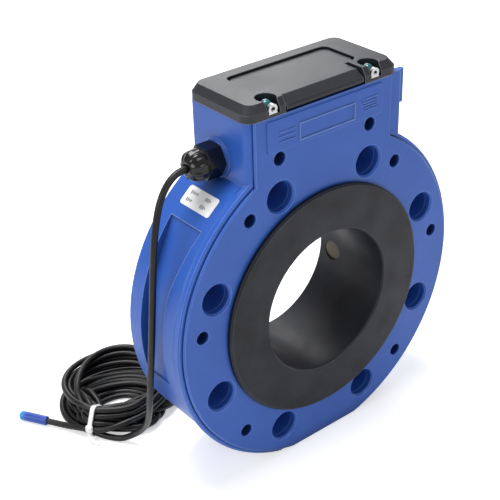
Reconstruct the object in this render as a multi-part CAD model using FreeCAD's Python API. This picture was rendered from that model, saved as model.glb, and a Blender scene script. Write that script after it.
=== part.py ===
# Wafer electromagnetic flow meter, DN100, for clamping between pipe flanges.
# Frame: origin at the centre of the measuring bore, +Y along the bore towards the back face,
# +Z up to the display lid, +X to the right seen from the front plate. Millimetres throughout.
import FreeCAD, Part
import math
import os

V = FreeCAD.Vector
AXIS_X = V(1, 0, 0)
AXIS_Y = V(0, 1, 0)
AXIS_Z = V(0, 0, 1)

# ---- flange connection (DN100, PN16) ----
BOLT_CIRCLE_R = 90.0
BOLT_COUNT = 8
BOLT_HOLE_R = 9.5
BOLT_EDGE = 1.2            # bevel round each bolt hole
BOLT_SLEEVE = 2.5          # wall of the sleeve round each bolt hole
BODY_DEPTH = 54.0          # front plate face to back face
FOOT_Z = -104.0            # flat that the meter stands on

# ---- measuring bore ----
BORE_R = 47.5
LINER_WALL = 3.2
LINER_FLARE_R = 77.0
LINER_FLARE_T = 3.5
TUBE_WALL = 2.5
SNUG = 0.3                 # gap between curved faces that sit in each other

# ---- moulded housing and its front plate ----
DRUM_R = 110.0
WALL = 3.5
PLATE_R = 108.3
PLATE_INSET = 4.0          # plate's upright edges from the box's walls
PLATE_T = 5.0
PLATE_PROUD = 2.0          # plate face stands in front of the housing's lip
LIP_R = 111.2
LIP_DEPTH = 4.0
LIP_FLARE = 2.5            # run-out of the lip into the drum
BOX_HALF_WIDTH = 56.5
BOX_FRONT_R = 4.0          # rounded front edge on the gland's side
BOX_LIP_OUT = 6.7          # lip on the other side, past the box's wall
BOX_LIP_R = 3.0
PAD_OUT = 1.7              # thicker strip of that lip, beside the lid
PAD_LOW = 112.8
PAD_HALF = 6.0
PAD_SET = 0.6              # pad behind the lip's front
PAD_EDGE_R = 1.2
BOX_TOP = 134.0
BOX_BACK = 26.0
BOX_CORNER_R = 3.0
BOX_FLOOR = 95.6
BOX_WALL = 3.0
RAIL_BACK = -15.5          # inner edge of the rail that carries the lid's front edge

# ---- side pockets in the drum ----
POCKET_FLOOR_R = 104.0
POCKET_TOP_Z = 73.0
POCKET_LOW_Z = -24.5
POCKET_FRONT = -8.0
POCKET_BACK = 14.5
POCKET_FRONT_AT_TOP = -15.0
POCKET_SLOPE_END = 38.0    # height where the slanted front end meets the upright one

# ---- plate screws ----
PLATE_SCREWS = [(34.8, 107.6), (57.2, 76.0), (94.4, 13.0), (65.3, -70.4)]
SCREW_SINK_R = 4.1
SCREW_TOWER_R = 6.3
SCREW_TOWER_BACK = -12.0
SCREW_SEAT = -14.0
SCREW_SHANK_R = 2.0
SCREW_BOSS_R = 5.0
SCREW_TOWER_WALL = 2.0     # housing wall round each tower of the plate
SCREW_GRIP = 7.0           # how deep a screw's thread reaches into its boss

# ---- raised panel on the plate, under the lid ----
PANEL_HALF_WIDTH = 44.2
PANEL_LOW = 112.4
PANEL_HIGH = 132.0
PANEL_T = 1.0
FIELD_HALF_WIDTH = 21.5
FIELD_LOW = 115.0
FIELD_HIGH = 126.0
FIELD_RIB = 0.9            # raised rib round the middle field
FIELD_RIB_T = 0.5

# ---- lid ----
LID_SIDE_OVERHANG = 0.8
LID_SIDE_SET = 3.5         # how far the top face stands in from the lid's sides
LID_HEIGHT = 9.5
LID_SKIRT = 4.8            # upright part of the lid's edge, under its chamfer
LID_CORNER_R = 6.5
LID_WALL = 3.5
LID_FRONT_SET = 3.0        # how far the top face stands behind the front edge
LID_BACK_SET = 2.0
LID_OVERHANG = 1.0         # how far the lid's back edge stands past the box
COVER_SINK = 1.3           # flip cover's face below the lid's top
DECK_DROP = 3.6            # deck under the flip cover, below the lid's top
DECK_T = 3.0
COVER_GAP = 1.2
COVER_T = 2.0
COVER_WIDE_HALF = 37.3
COVER_NARROW_HALF = 28.9
COVER_WIDE_FRONT = -10.5
COVER_BACK = 16.0
COVER_CORNER_R = 4.5
HINGE_R = 2.3
HINGE_INSET = 2.4          # hinge axis behind the lid's front edge
HINGE_RISE = 2.6           # hinge axis above the lid's underside
HINGE_PIN_R = 1.0
HINGE_PLAY = 0.05
WINDOW_HALF = (27.0, 12.0)
WINDOW_T = 1.6
WINDOW_Y = 3.0
WINDOW_REST = 3.0
WINDOW_PLAY = 0.1
TONGUE_X = 30.0            # tongues that hold the lid's back edge inside the box
TONGUE_HALF = 5.0
LID_RIB_X = 34.4           # stiffening ribs under the lid, either side of the window
LID_RIB_T = 1.6

# ---- sealing points in the lid's front corners ----
SEAL_X = 38.6
SEAL_SET = 7.0             # sealing screw behind the lid's front edge
SEAL_SHANK_R = 1.5
SEAL_POCKET_R = 6.2
SEAL_SLOT_HALF = 4.4
SEAL_FLOOR_T = 1.4

# ---- cable gland on the left wall ----
GLAND_Y = 2.0
GLAND_Z = 105.5
GLAND_BOSS_R = 12.0
GLAND_BOSS_T = 1.6
GLAND_BOSS_STEP = 0.9      # outer ring of the boss, lower and wider than its seat
GLAND_THREAD_R = 8.0
GLAND_HEX_AF = 18.6
GLAND_HEX_L = 11.5
GLAND_CAP_L = 9.5
GLAND_CAP_R = 9.4
GLAND_MOUTH_PLAY = 0.4     # mouth of the cap nut round the cable
GLAND_BORE_R = 5.2
GLAND_FLUTES = 12
GLAND_FLUTE_R = 0.9

# ---- cable ----
CABLE_R = 2.1
COIL_X = -84.0
COIL_Y = 89.0
COIL_R = 47.4
COIL_HEIGHT = 20.1
COIL_EYE = (-90.5, 85.5, 19.5)
TIE_ANGLE = 208.6
TIE_WIDTH = 3.6
TIE_T = 1.0
TIE_REACH = 20.6           # bundle's width under the tie
SLEEVE_R = 3.2
SLEEVE_L = 21.0
SLEEVE_OVERLAP = 6.0

# ---- label on the drum ----
LABEL_SET = 6.59365        # degrees along the drum from the box's wall
LABEL_SPAN = 6.6
LABEL_FRONT = -13.2
LABEL_BACK = 13.8
LABEL_T = 0.3
LABEL_GLUE = 0.05          # film of glue under it

# ---- magnet system ----
CORE_R = 8.0
SHOE_T = 2.2
BOBBIN_WALL = 1.2
COIL_WIND_R = 17.0
YOKE_R = 77.2
YOKE_T = 3.0
YOKE_HALF_WIDTH = 14.0

# ---- electronics ----
BOARD_Z = 124.6
BOARD_T = 1.6
BOARD_INSET = 3.5          # board's edge from the box's inner wall
SHELF_REACH = 4.0          # ledge of the box under each end of the board
BATTERY_R = 13.0
BATTERY_HALF = 24.5
BATTERY_Y = 9.6
CRADLE_T = 1.6

# ---- electrodes ----
ELECTRODE_SET = 9.0        # electrode's axis in front of the back face
ELECTRODE_Z = -4.0
ELECTRODE_HEAD_R = 6.5
ELECTRODE_HEAD_T = 1.4
ELECTRODE_STEM_R = 2.0

# ---- worked-out stations ----
FRONT = -BODY_DEPTH / 2
BACK = BODY_DEPTH / 2
LIP = FRONT + PLATE_PROUD
PLATE_BACK = FRONT + PLATE_T
TUBE_IN_R = BORE_R + LINER_WALL + SNUG
TUBE_OUT_R = TUBE_IN_R + TUBE_WALL
HUB_R = TUBE_OUT_R + SNUG
INNER_HALF = BOX_HALF_WIDTH - BOX_WALL
PLATE_HALF_WIDTH = BOX_HALF_WIDTH - PLATE_INSET
BOX_LIP_REACH = BOX_HALF_WIDTH + BOX_LIP_OUT
PAD_REACH = BOX_LIP_REACH + PAD_OUT
LID_HALF_WIDTH = BOX_HALF_WIDTH + LID_SIDE_OVERHANG
LID_TOP_HALF_WIDTH = LID_HALF_WIDTH - LID_SIDE_SET
LID_TOP = BOX_TOP + LID_HEIGHT
LID_FRONT = FRONT
LID_BACK = BOX_BACK + LID_OVERHANG
COVER_TOP = LID_TOP - COVER_SINK
DECK = LID_TOP - DECK_DROP
SEAL_Y = LID_FRONT + SEAL_SET
ELECTRODE_Y = BACK - ELECTRODE_SET
HINGE_Y = LID_FRONT + HINGE_INSET
HINGE_Z = BOX_TOP + HINGE_RISE
SLOT_HALF = COVER_NARROW_HALF + COVER_GAP
GLAND_FACE = -(BOX_HALF_WIDTH + GLAND_BOSS_T)
GLAND_TIP = GLAND_FACE - GLAND_HEX_L - GLAND_CAP_L
GLAND_MOUTH_R = CABLE_R + GLAND_MOUTH_PLAY
CORD_START = GLAND_TIP + 1.8
CAVITY_BACK = BACK - WALL
CAVITY_R = DRUM_R - WALL
POCKET_CAVITY_R = POCKET_FLOOR_R - WALL


# ---------------------------------------------------------------- shape helpers
def box(x0, x1, y0, y1, z0, z1):
    return Part.makeBox(x1 - x0, y1 - y0, z1 - z0, V(x0, y0, z0))


def rod_x(radius, x0, x1, y, z):
    return Part.makeCylinder(radius, x1 - x0, V(x0, y, z), AXIS_X)


def rod_y(radius, y0, y1, x=0.0, z=0.0):
    return Part.makeCylinder(radius, y1 - y0, V(x, y0, z), AXIS_Y)


def rod_z(radius, z0, z1, x, y):
    return Part.makeCylinder(radius, z1 - z0, V(x, y, z0), AXIS_Z)


def cone_y(r0, r1, y0, y1, x=0.0, z=0.0):
    return Part.makeCone(r0, r1, y1 - y0, V(x, y0, z), AXIS_Y)


def face_of(points):
    return Part.Face(Part.makePolygon(list(points) + [points[0]]))


def turned(profile):
    """Solid of revolution about the bore axis from (radius, y) points."""
    face = face_of([V(r, y, 0) for r, y in profile])
    return face.revolve(V(0, 0, 0), AXIS_Y, 360)


def turned_x(profile, y, z):
    """Solid of revolution about an axis along X through (y, z), from (x, radius) points."""
    face = face_of([V(x, y, z + r) for x, r in profile])
    return face.revolve(V(0, y, z), AXIS_X, 360)


def rounded_plate(half_width, y0, y1, z0, z1, radius, x_mid=0.0):
    """Flat plate in XY with rounded upright corners."""
    plate = box(x_mid - half_width, x_mid + half_width, y0, y1, z0, z1)
    return plate.makeFillet(radius, upright_edges(plate, z1 - z0))


def upright_edges(shape, height):
    return [e for e in shape.Edges if abs(e.Vertexes[0].Z - e.Vertexes[-1].Z) > height / 2]


def outline_of(corners):
    """Face in XY from (x, y, radius) corners. A corner with a radius becomes a quarter arc."""
    points = [V(x, y, 0) for x, y, radius in corners]
    bends = []
    for k, here in enumerate(points):
        to_last = (points[k - 1] - here).normalize() * corners[k][2]
        to_next = (points[(k + 1) % len(points)] - here).normalize() * corners[k][2]
        bends.append((here + to_last, here + (to_last + to_next) * (1 - math.sqrt(0.5)), here + to_next))
    edges = []
    for k, (start, middle, end) in enumerate(bends):
        if corners[k][2] > 0:
            edges.append(Part.Arc(start, middle, end).toShape())
        following = bends[(k + 1) % len(bends)][0]
        if end.distanceToPoint(following) > 0.001:
            edges.append(Part.LineSegment(end, following).toShape())
    return Part.Face(Part.Wire(edges))


def fuse(first, *others):
    return first.multiFuse(list(others)).removeSplitter()


def mirrored(shape):
    return shape.mirror(V(0, 0, 0), AXIS_X)


def hexagon_x(across_flats, x0, x1, y, z):
    corner = across_flats / 2 / math.cos(math.pi / 6)
    points = [V(x0, y + corner * math.cos(math.radians(60 * k)), z + corner * math.sin(math.radians(60 * k)))
              for k in range(6)]
    return face_of(points).extrude(V(x1 - x0, 0, 0))


def bolt_centres():
    for k in range(BOLT_COUNT):
        turn = math.radians(360.0 / BOLT_COUNT * (k + 0.5))
        yield BOLT_CIRCLE_R * math.cos(turn), BOLT_CIRCLE_R * math.sin(turn)


def screw_centres():
    for x, z in PLATE_SCREWS:
        yield -x, z
        yield x, z


def polar(radius, degrees, y=0.0):
    return V(radius * math.cos(math.radians(degrees)), y, radius * math.sin(math.radians(degrees)))


# ---------------------------------------------------------------- housing
def drum():
    """Round part of the housing: front lip, drum and rounded back edge, with a flat foot."""
    lip_end = LIP + LIP_DEPTH
    shell = turned([(0, LIP), (LIP_R - 1, LIP), (LIP_R, LIP + 1), (LIP_R, lip_end),
                    (DRUM_R, lip_end + LIP_FLARE), (DRUM_R, BACK - 1.2), (DRUM_R - 1.2, BACK), (0, BACK)])
    return shell


def terminal_box():
    """Box on top of the drum: rounded towards the gland, with a flared front lip on the other side."""
    w = BOX_HALF_WIDTH
    lip = BOX_LIP_REACH
    lip_end = LIP + LIP_DEPTH
    flare = lip - w
    outline = outline_of([(-w, LIP, BOX_FRONT_R), (lip, LIP, BOX_LIP_R), (lip, lip_end, 0),
                          (w, lip_end, flare), (w, BOX_BACK, BOX_CORNER_R), (-w, BOX_BACK, BOX_CORNER_R)])
    start = BOX_FLOOR - 50
    shell = outline.extrude(V(0, 0, BOX_TOP - start)).translated(V(0, 0, start))
    pad = rounded_plate(PAD_HALF, LIP + PAD_SET, lip_end, PAD_LOW, BOX_TOP, PAD_EDGE_R, PAD_REACH - PAD_HALF)
    return fuse(shell, pad)


def side_pocket():
    """Cutter for the recess in the left flank: flat, round and flat floor between two level ends."""
    rise = DRUM_R - 0.8
    top = math.degrees(math.asin(POCKET_TOP_Z / rise))
    low = math.degrees(math.asin(POCKET_LOW_Z / rise))
    lean = math.degrees(math.acos(POCKET_FLOOR_R / rise))
    start, stop = 180 - top, 180 - low
    outer = DRUM_R + 25
    points = [polar(rise, start), polar(POCKET_FLOOR_R, start + lean),
              polar(POCKET_FLOOR_R, stop - lean), polar(rise, stop)]
    floor_mid = polar(POCKET_FLOOR_R, (start + stop) / 2)
    far = [V(-outer, 0, points[3].z), V(-outer, 0, points[0].z)]
    edges = [Part.LineSegment(points[0], points[1]).toShape(),
             Part.Arc(points[1], floor_mid, points[2]).toShape(),
             Part.LineSegment(points[2], points[3]).toShape(),
             Part.LineSegment(points[3], far[0]).toShape(),
             Part.LineSegment(far[0], far[1]).toShape(),
             Part.LineSegment(far[1], points[0]).toShape()]
    section = Part.Face(Part.Wire(edges))
    swept = section.extrude(V(0, POCKET_BACK - POCKET_FRONT_AT_TOP, 0))
    swept = swept.translated(V(0, POCKET_FRONT_AT_TOP, 0))
    high = POCKET_TOP_Z + 5
    deep = POCKET_LOW_Z - 5
    side = face_of([V(-outer, POCKET_FRONT_AT_TOP, high), V(-outer, POCKET_BACK, high),
                    V(-outer, POCKET_BACK, deep), V(-outer, POCKET_FRONT, deep),
                    V(-outer, POCKET_FRONT, POCKET_SLOPE_END)])
    return swept.common(side.extrude(V(outer, 0, 0)))


def drum_cavity():
    """Space behind the plate: wide at the front, drawn in behind the side pockets."""
    step = POCKET_FRONT - WALL
    room = turned([(0, PLATE_BACK - 0.01), (CAVITY_R, PLATE_BACK - 0.01), (CAVITY_R, step),
                   (POCKET_CAVITY_R, step), (POCKET_CAVITY_R, CAVITY_BACK), (0, CAVITY_BACK)])
    keep = box(-150, 150, -60, 60, FOOT_Z + WALL, BOX_FLOOR - WALL)
    return room.common(keep)


def box_cavity():
    return box(-INNER_HALF, INNER_HALF, PLATE_BACK + WALL, BOX_BACK - BOX_WALL, BOX_FLOOR, BOX_TOP + 1)


def body_housing():
    shell = fuse(drum(), terminal_box())
    shell = shell.cut(box(-150, 150, -60, 60, -150, FOOT_Z))
    pocket = side_pocket()
    shell = shell.cut(pocket)
    shell = shell.cut(mirrored(pocket))
    # seat for the front plate
    seat = fuse(rod_y(PLATE_R + SNUG, LIP - 1, PLATE_BACK),
                box(-PLATE_HALF_WIDTH - SNUG, PLATE_HALF_WIDTH + SNUG, LIP - 1, PLATE_BACK, 0, BOX_TOP + 1))
    shell = shell.cut(seat)
    shell = shell.cut(drum_cavity())
    shell = shell.cut(box_cavity())
    # sleeves round the bolt holes, bosses for the plate screws, rail, ledges and the gland's boss
    adds = []
    for x, z in bolt_centres():
        adds.append(rod_y(BOLT_HOLE_R + BOLT_SLEEVE, PLATE_BACK, BACK - 1, x, z))
    for x, z in screw_centres():
        if z < BOX_FLOOR:
            adds.append(rod_y(SCREW_BOSS_R, SCREW_TOWER_BACK, BACK - 1, x, z))
        else:
            tower_r = SCREW_TOWER_R + SNUG + SCREW_TOWER_WALL
            adds.append(rod_y(tower_r, PLATE_BACK, SCREW_TOWER_BACK + SCREW_GRIP + 2, x, z))
    adds.append(box(-BOX_HALF_WIDTH + 2, BOX_HALF_WIDTH - 2, PLATE_BACK, RAIL_BACK, BOX_TOP - 8, BOX_TOP))
    for s in (-1, 1):
        near, far = sorted((s * (INNER_HALF - SHELF_REACH), s * INNER_HALF))
        adds.append(box(near, far, -14, 20, BOARD_Z - 3, BOARD_Z))
        adds.append(box(s * SEAL_X - 4.5, s * SEAL_X + 4.5, PLATE_BACK, -14, BOX_TOP - 18, BOX_TOP))
    adds.append(rod_x(GLAND_BOSS_R, GLAND_FACE + GLAND_BOSS_STEP, -BOX_HALF_WIDTH + 1, GLAND_Y, GLAND_Z))
    adds.append(rod_x(GLAND_BOSS_R - 1.2, GLAND_FACE, -BOX_HALF_WIDTH + 1, GLAND_Y, GLAND_Z))
    shell = fuse(shell, *adds)
    cuts = [rod_y(HUB_R, FRONT - 1, BACK + 1)]
    for x, z in bolt_centres():
        cuts.append(rod_y(BOLT_HOLE_R, LIP - 1, BACK + 1, x, z))
        cuts.append(cone_y(BOLT_HOLE_R, BOLT_HOLE_R + BOLT_EDGE, BACK - BOLT_EDGE, BACK, x, z))
    for x, z in screw_centres():
        cuts.append(rod_y(SCREW_SHANK_R - SNUG, SCREW_TOWER_BACK - 1, SCREW_TOWER_BACK + SCREW_GRIP, x, z))
        if z > BOX_FLOOR:
            cuts.append(rod_y(SCREW_TOWER_R + SNUG, PLATE_BACK - 1, SCREW_TOWER_BACK, x, z))
    for s in (-1, 1):
        cuts.append(rod_z(SEAL_SHANK_R + 0.05, BOX_TOP - 14, BOX_TOP + 1, s * SEAL_X, SEAL_Y))
    cuts.append(rod_x(GLAND_THREAD_R + SNUG, GLAND_FACE - 1, -BOX_HALF_WIDTH + 6, GLAND_Y, GLAND_Z))
    for cutter in cuts:
        shell = shell.cut(cutter)
    return shell


# ---------------------------------------------------------------- front plate
def front_plate():
    disc = turned([(0, FRONT), (PLATE_R - 0.8, FRONT), (PLATE_R, FRONT + 0.8), (PLATE_R, PLATE_BACK),
                   (0, PLATE_BACK)])
    w = PLATE_HALF_WIDTH
    top = face_of([V(-w + 0.8, FRONT, 0), V(w - 0.8, FRONT, 0), V(w, FRONT + 0.8, 0), V(w, PLATE_BACK, 0),
                   V(-w, PLATE_BACK, 0), V(-w, FRONT + 0.8, 0)]).extrude(V(0, 0, BOX_TOP))
    plate = fuse(disc, top)
    plate = plate.cut(box(-150, 150, -60, 60, -150, FOOT_Z))
    panel = box(-PANEL_HALF_WIDTH, PANEL_HALF_WIDTH, FRONT - PANEL_T, FRONT + 1, PANEL_LOW, PANEL_HIGH)
    along = [e for e in panel.Edges if abs(e.Vertexes[0].Y - e.Vertexes[-1].Y) > 1]
    panel = panel.makeFillet(2.5, along)
    rim = [e for e in panel.Edges if e.BoundBox.YMax < FRONT - PANEL_T + 0.01]
    panel = panel.makeFillet(0.5, rim)
    towers = [rod_y(SCREW_TOWER_R, PLATE_BACK - 1, SCREW_TOWER_BACK - SNUG, x, z) for x, z in screw_centres()]
    rib_front = FRONT - PANEL_T - FIELD_RIB_T
    rib = box(-FIELD_HALF_WIDTH, FIELD_HALF_WIDTH, rib_front, FRONT, FIELD_LOW, FIELD_HIGH)
    rib = rib.cut(box(FIELD_RIB - FIELD_HALF_WIDTH, FIELD_HALF_WIDTH - FIELD_RIB, rib_front - 1, FRONT + 1,
                      FIELD_LOW + FIELD_RIB, FIELD_HIGH - FIELD_RIB))
    plate = fuse(plate, panel, rib, *towers)
    cuts = [rod_y(HUB_R, FRONT - 3, BACK)]
    for x, z in bolt_centres():
        cuts.append(rod_y(BOLT_HOLE_R, FRONT - 1, BACK, x, z))
        cuts.append(cone_y(BOLT_HOLE_R + BOLT_EDGE, BOLT_HOLE_R, FRONT, FRONT + BOLT_EDGE, x, z))
    for x, z in screw_centres():
        cuts.append(rod_y(SCREW_SINK_R, FRONT - 2, SCREW_SEAT, x, z))
        cuts.append(cone_y(SCREW_SINK_R + 0.5, SCREW_SINK_R, FRONT, FRONT + 0.5, x, z))
        cuts.append(rod_y(SCREW_SHANK_R + 0.2, SCREW_SEAT - 1, SCREW_TOWER_BACK, x, z))
    for cutter in cuts:
        plate = plate.cut(cutter)
    return plate


def front_plate_screws():
    """Eight pan-head screws at the bottom of the plate's deep sinks."""
    screws = []
    for x, z in screw_centres():
        head = rod_y(SCREW_SINK_R - 0.5, SCREW_SEAT - 2.6, SCREW_SEAT, x, z)
        head = head.cut(box(x - 2.4, x + 2.4, SCREW_SEAT - 2.7, SCREW_SEAT - 1.5, z - 0.5, z + 0.5))
        head = head.cut(box(x - 0.5, x + 0.5, SCREW_SEAT - 2.7, SCREW_SEAT - 1.5, z - 2.4, z + 2.4))
        shank = rod_y(SCREW_SHANK_R - SNUG, SCREW_SEAT - 0.5, SCREW_TOWER_BACK + SCREW_GRIP - 1, x, z)
        screws.append(fuse(head, shank))
    return Part.makeCompound(screws)


# ---------------------------------------------------------------- liner, tube, electrodes
def rubber_liner():
    edge = 1.2
    half = BACK + LINER_FLARE_T
    outer = BORE_R + LINER_WALL
    body = turned([(BORE_R + 1, -half), (LINER_FLARE_R - edge, -half), (LINER_FLARE_R, -half + edge),
                   (LINER_FLARE_R, -BACK), (outer, -BACK), (outer, BACK), (LINER_FLARE_R, BACK),
                   (LINER_FLARE_R, half - edge), (LINER_FLARE_R - edge, half), (BORE_R + 1, half),
                   (BORE_R, half - 1), (BORE_R, -half + 1)])
    for s in (-1, 1):
        near, far = sorted((s * (BORE_R - 5), s * (BORE_R + 0.1 + ELECTRODE_HEAD_T)))
        body = body.cut(rod_x(ELECTRODE_HEAD_R + 0.1, near, far, ELECTRODE_Y, ELECTRODE_Z))
        near, far = sorted((s * BORE_R, s * (outer + 2)))
        body = body.cut(rod_x(ELECTRODE_STEM_R + 0.1, near, far, ELECTRODE_Y, ELECTRODE_Z))
    return body


def measuring_tube():
    tube = rod_y(TUBE_OUT_R, FRONT, BACK).cut(rod_y(TUBE_IN_R, FRONT - 1, BACK + 1))
    return tube.cut(rod_x(ELECTRODE_STEM_R + 1.2, -80, 80, ELECTRODE_Y, ELECTRODE_Z))


def electrode_set():
    """Right-hand electrode, its insulating bush and its nut."""
    y, z = ELECTRODE_Y, ELECTRODE_Z
    face = BORE_R + 0.1
    seat = face + ELECTRODE_HEAD_T
    bush_end = TUBE_OUT_R + 3.5
    nut_end = bush_end + 3.2
    head = rod_x(ELECTRODE_HEAD_R, face, seat, y, z)
    electrode = fuse(head, rod_x(ELECTRODE_STEM_R, seat, nut_end + 3, y, z))
    bush = rod_x(ELECTRODE_STEM_R + 2.6, TUBE_OUT_R, bush_end, y, z).cut(
        rod_y(TUBE_OUT_R + 0.05, y - 10, y + 10)).cut(rod_x(ELECTRODE_STEM_R + 0.1, 40, 70, y, z))
    nut = hexagon_x(8, bush_end, nut_end, y, z).cut(rod_x(ELECTRODE_STEM_R + 0.05, 40, 75, y, z))
    return electrode, bush, nut


# ---------------------------------------------------------------- magnet system
def magnet_set():
    """Upper pole core, bobbin and winding."""
    yoke_in = YOKE_R - YOKE_T
    shoe_in = TUBE_OUT_R + SNUG
    shoe = rod_y(shoe_in + SHOE_T, -YOKE_HALF_WIDTH, YOKE_HALF_WIDTH).cut(rod_y(shoe_in, -20, 20))
    shoe = shoe.common(box(-26, 26, -20, 20, 40, 80))
    core_top = yoke_in - 0.6
    core = fuse(rod_z(CORE_R, shoe_in + 0.5, core_top, 0, 0).cut(rod_y(shoe_in, -20, 20)), shoe)
    low = shoe_in + SHOE_T + 0.1
    sleeve_r = CORE_R + 0.2 + BOBBIN_WALL
    flange_r = COIL_WIND_R + 0.8
    high = math.sqrt(yoke_in ** 2 - flange_r ** 2) - SNUG
    bobbin = fuse(rod_z(sleeve_r, low, high, 0, 0),
                  rod_z(flange_r, low, low + BOBBIN_WALL, 0, 0),
                  rod_z(flange_r, high - BOBBIN_WALL, high, 0, 0))
    bobbin = bobbin.cut(rod_z(CORE_R + 0.2, low - 1, core_top + 1, 0, 0))
    winding = rod_z(COIL_WIND_R, low + BOBBIN_WALL + 0.05, high - BOBBIN_WALL - 0.05, 0, 0)
    winding = winding.cut(rod_z(sleeve_r + 0.1, low, core_top, 0, 0))
    return core, bobbin, winding


def yoke_ring():
    return rod_y(YOKE_R, -YOKE_HALF_WIDTH, YOKE_HALF_WIDTH).cut(rod_y(YOKE_R - YOKE_T, -20, 20))


# ---------------------------------------------------------------- lid
def cover_plan(grow, z0, z1):
    """Plan of the flip cover's wide part, grown by a gap for the frame's recess."""
    back = COVER_BACK + grow
    half = COVER_WIDE_HALF + grow
    front = COVER_WIDE_FRONT - 1.1 * grow
    wide = box(-half, half, front, back, z0, z1)
    return wide.makeFillet(COVER_CORNER_R, upright_edges(wide, z1 - z0))


def lid_frame():
    skirt_top = BOX_TOP + LID_SKIRT
    skirt = rounded_plate(LID_HALF_WIDTH, LID_FRONT, LID_BACK, BOX_TOP, skirt_top, LID_CORNER_R)
    low = rounded_plate(LID_HALF_WIDTH, LID_FRONT, LID_BACK, skirt_top - 1, skirt_top, LID_CORNER_R)
    high = rounded_plate(LID_TOP_HALF_WIDTH, LID_FRONT + LID_FRONT_SET, LID_BACK - LID_BACK_SET,
                         LID_TOP - 1, LID_TOP, LID_CORNER_R - 1)
    rims = [max(s.Faces, key=lambda f: f.CenterOfMass.z).OuterWire for s in (low, high)]
    crown = Part.makeLoft(rims, True, True)
    frame = fuse(skirt, crown)
    # hollow from below, with the deck left on top
    hollow = rounded_plate(LID_HALF_WIDTH - LID_WALL, RAIL_BACK + 1, LID_BACK - LID_WALL, BOX_TOP - 1,
                           DECK - DECK_T, 3)
    frame = frame.cut(hollow)
    # room for the flip cover: its wide part, then the strip that reaches the hinge
    frame = frame.cut(cover_plan(COVER_GAP, DECK, LID_TOP + 5))
    wall = LID_FRONT + 5.4
    strip = [(LID_FRONT - 2, BOX_TOP - 1), (wall, BOX_TOP - 1), (wall, HINGE_Z + 1.6), (wall + 2.4, DECK),
             (COVER_WIDE_FRONT + 1, DECK), (COVER_WIDE_FRONT + 1, LID_TOP + 5), (LID_FRONT - 2, LID_TOP + 5)]
    cutter = face_of([V(-SLOT_HALF, y, z) for y, z in strip]).extrude(V(2 * SLOT_HALF, 0, 0))
    frame = frame.cut(cutter)
    # display window and its rebate
    wx, wy = WINDOW_HALF
    low, high = WINDOW_Y - wy - WINDOW_PLAY, WINDOW_Y + wy + WINDOW_PLAY
    frame = frame.cut(box(-wx - WINDOW_PLAY, wx + WINDOW_PLAY, low, high, DECK - WINDOW_T, DECK + 1))
    wx, wy = wx - WINDOW_REST, wy - WINDOW_REST
    frame = frame.cut(box(-wx, wx, WINDOW_Y - wy, WINDOW_Y + wy, BOX_TOP, DECK))
    # seal pockets, open at the front, and holes for the hinge pins
    floor = BOX_TOP + SEAL_FLOOR_T
    for s in (-1, 1):
        x = s * SEAL_X
        frame = frame.cut(rod_z(SEAL_POCKET_R, floor, LID_TOP + 1, x, SEAL_Y))
        slot = box(x - SEAL_SLOT_HALF, x + SEAL_SLOT_HALF, LID_FRONT - 1, SEAL_Y, floor, LID_TOP + 1)
        frame = frame.cut(slot)
        frame = frame.cut(rod_z(SEAL_SHANK_R + 0.2, BOX_TOP - 1, floor + 1, x, SEAL_Y))
        near, far = sorted((s * (SLOT_HALF - 1), s * (SLOT_HALF + 3.2)))
        frame = frame.cut(rod_x(HINGE_PIN_R + HINGE_PLAY, near, far, HINGE_Y, HINGE_Z))
    # seat for the gasket and two tongues that hold the back edge
    frame = frame.cut(gasket_ring(BOX_TOP - 1, BOX_TOP + 1))
    under = []
    for s in (-1, 1):
        under.append(box(s * TONGUE_X - TONGUE_HALF, s * TONGUE_X + TONGUE_HALF, BOX_BACK - BOX_WALL - 2.2,
                         BOX_BACK - BOX_WALL - 0.4, BOX_TOP - 4, DECK - DECK_T / 2))
        rib = s * LID_RIB_X
        under.append(box(rib - LID_RIB_T / 2, rib + LID_RIB_T / 2, WINDOW_Y - WINDOW_HALF[1] - 2,
                         WINDOW_Y + WINDOW_HALF[1] + 2, BOX_TOP, DECK - DECK_T / 2))
    return fuse(frame, *under)


def gasket_ring(z0, z1):
    outer = rounded_plate(BOX_HALF_WIDTH - 1.5, RAIL_BACK - 2, BOX_BACK - 1, z0, z1, 2.5)
    inner = rounded_plate(BOX_HALF_WIDTH - 2.7, RAIL_BACK - 0.8, BOX_BACK - 2.2, z0 - 1, z1 + 1, 1.5)
    return outer.cut(inner)


def flip_cover():
    """One moulding: a wide plate, a strip that turns down over the front chamfer, and the hinge barrel."""
    wide = cover_plan(0.0, COVER_TOP - COVER_T, COVER_TOP)
    n = COVER_NARROW_HALF
    under = COVER_TOP - COVER_T
    back = COVER_WIDE_FRONT + 2
    profile = [(LID_FRONT + 0.8, HINGE_Z + 1.6), (LID_FRONT + 6.4, COVER_TOP), (back, COVER_TOP),
               (back, under), (LID_FRONT + 7.4, under), (LID_FRONT + 4.3, HINGE_Z + 1.4)]
    strip = face_of([V(-n, y, z) for y, z in profile]).extrude(V(2 * n, 0, 0))
    barrel = rod_x(HINGE_R, -n, n, HINGE_Y, HINGE_Z)
    cover = fuse(wide, strip, barrel)
    for s in (-1, 1):
        near, far = sorted((s * (n - 6), s * (n + 1)))
        cover = cover.cut(rod_x(HINGE_PIN_R + HINGE_PLAY, near, far, HINGE_Y, HINGE_Z))
    return cover


def hinge_pin():
    return rod_x(HINGE_PIN_R, COVER_NARROW_HALF - 5.5, SLOT_HALF + 3, HINGE_Y, HINGE_Z)


def display_window():
    wx, wy = WINDOW_HALF
    return box(-wx, wx, WINDOW_Y - wy, WINDOW_Y + wy, DECK - WINDOW_T, DECK - 0.05)


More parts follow.
